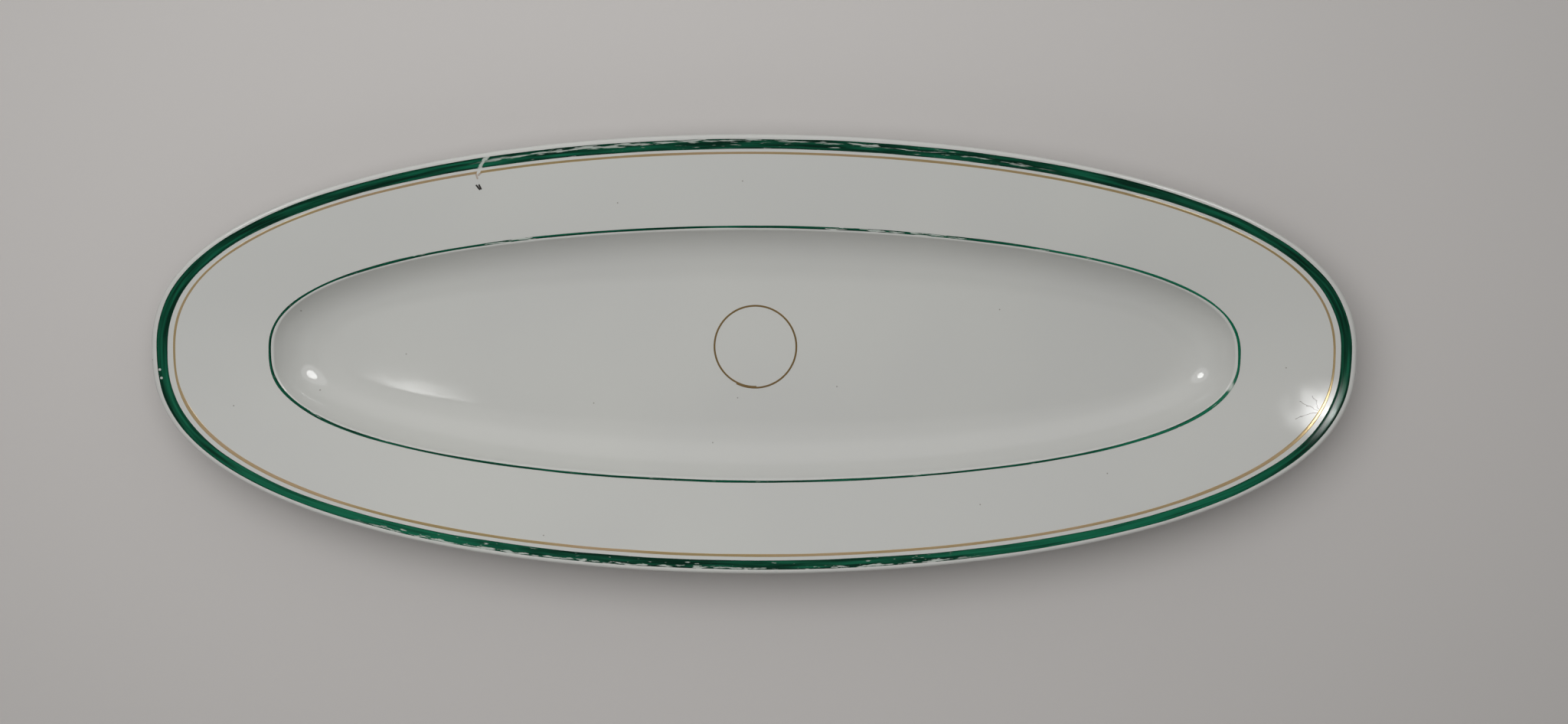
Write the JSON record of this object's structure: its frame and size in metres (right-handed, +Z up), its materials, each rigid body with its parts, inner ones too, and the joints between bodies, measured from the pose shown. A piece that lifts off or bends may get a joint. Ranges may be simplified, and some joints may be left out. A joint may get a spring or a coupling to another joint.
{
  "type": "fish platter",
  "caption": "Long oval glazed porcelain platter with a shallow well, wide flange and foot ring, painted with green bands and gold lines, for serving a whole fish.",
  "frame": {"origin": "on the table, under the middle of the platter, at the bottom of the foot ring", "axes": "+X along the platter's length, +Y across it, +Z up out of the well"},
  "size_m": [0.6, 0.22, 0.0368],
  "materials": {
    "biscuit": "matte",
    "glaze": "gloss",
    "green_enamel": "gloss",
    "gold": "satin"
  },
  "bodies": {
    "root": {"porcelain_body": "biscuit", "glaze_coat": "glaze", "glaze_base": "glaze", "green_rim_band": "green_enamel", "gold_rim_line": "gold", "green_verge_line": "green_enamel", "gold_centre_ring": "gold"}
  },
  "joints": []
}
